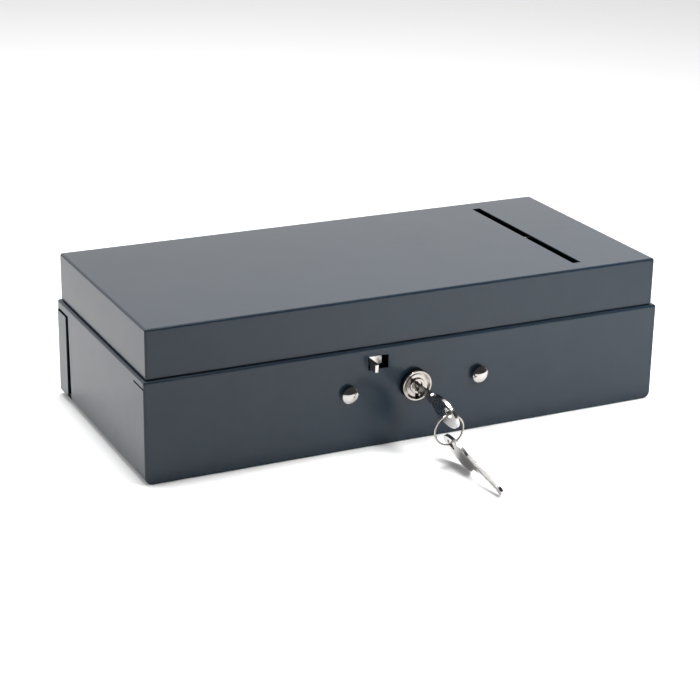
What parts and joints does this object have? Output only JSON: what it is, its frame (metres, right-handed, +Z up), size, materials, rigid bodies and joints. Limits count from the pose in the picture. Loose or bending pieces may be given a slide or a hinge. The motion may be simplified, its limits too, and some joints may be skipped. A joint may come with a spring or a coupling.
{
  "type": "cash box",
  "caption": "Low rectangular steel cash box with a hinged lid, deposit slot, finger latch, front key lock with keys on a ring, and a lift-out coin tray inside.",
  "frame": {"origin": "centre of the base's flat underside, which stands on the surface", "axes": "+X to the right seen from the front (lock side), +Y to the back (hinge side), +Z up"},
  "size_m": [0.2972, 0.2224, 0.0808],
  "materials": {
    "enamel_box": "satin charcoal enamel",
    "enamel_lid": "satin charcoal enamel",
    "chrome": "polished nickel-chrome",
    "zinc": "zinc plated, satin",
    "spring_steel": "drawn wire, bright",
    "die_cast": "plated die casting, fine grain",
    "nickel_key": "nickel plated, worn satin",
    "ring_wire": "polished wire",
    "tray_plastic": "fine leather-grain moulding",
    "rubber": "black moulded rubber"
  },
  "bodies": {
    "box": {"base_pan": "enamel_box", "front_panel": "enamel_box", "back_panel": "enamel_box", "hinge_base_leaf": "zinc", "hinge_pin": "zinc", "latch_cover": "zinc", "latch_rivets": "chrome", "rivet_washers": "zinc", "latch_spring": "spring_steel", "lock_body": "die_cast", "lock_gasket": "rubber", "lock_washer": "zinc", "lock_nut": "zinc", "tray_ledge": "enamel_box", "tray_divider": "enamel_box"},
    "lid": {"lid_shell": "enamel_lid", "lid_catch": "zinc", "hinge_lid_leaf": "zinc"},
    "latch": {"latch_slide": "chrome"},
    "plug": {"lock_plug": "die_cast", "lock_cam": "zinc", "cam_screw": "zinc"},
    "key": {"key_inserted": "nickel_key"},
    "ring": {"key_ring": "ring_wire"},
    "spare": {"key_spare": "nickel_key"},
    "tray": {"coin_tray": "tray_plastic"}
  },
  "joints": [
    {"name": "lid_open", "type": "hinge", "parent": "box", "child": "lid", "pos_m": [0, 0.07, 0.05485], "axis": [-1, 0, 0], "range_deg": [0, 105]},
    {"name": "latch_slide", "type": "slide", "parent": "box", "child": "latch", "axis": [1, 0, 0], "range_m": [0, 0.005], "stiffness_N_per_m": 300, "springref_m": -0.004, "deforming": ["latch_spring"]},
    {"name": "plug_turn", "type": "hinge", "parent": "box", "child": "plug", "pos_m": [0, -0.07, 0.0315], "axis": [0, -1, 0], "range_deg": [-20, 70]},
    {"name": "key_withdraw", "type": "slide", "parent": "plug", "child": "key", "axis": [0, -1, 0], "range_m": [-0.0065, 0.0165]},
    {"name": "ring_swing", "type": "hinge", "parent": "key", "child": "ring", "pos_m": [0.00091, -0.1043, 0.02901], "axis": [0.9397, 0, 0.342], "range_deg": [-20, 20]},
    {"name": "spare_swing", "type": "hinge", "parent": "ring", "child": "spare", "pos_m": [0.0026, -0.105, 0.0119], "axis": [-0.901, 0.0097, -0.4337], "range_deg": [0, 20]},
    {"name": "tray_lift", "type": "slide", "parent": "box", "child": "tray", "axis": [0, 0, 1], "range_m": [0, 0.018]}
  ]
}
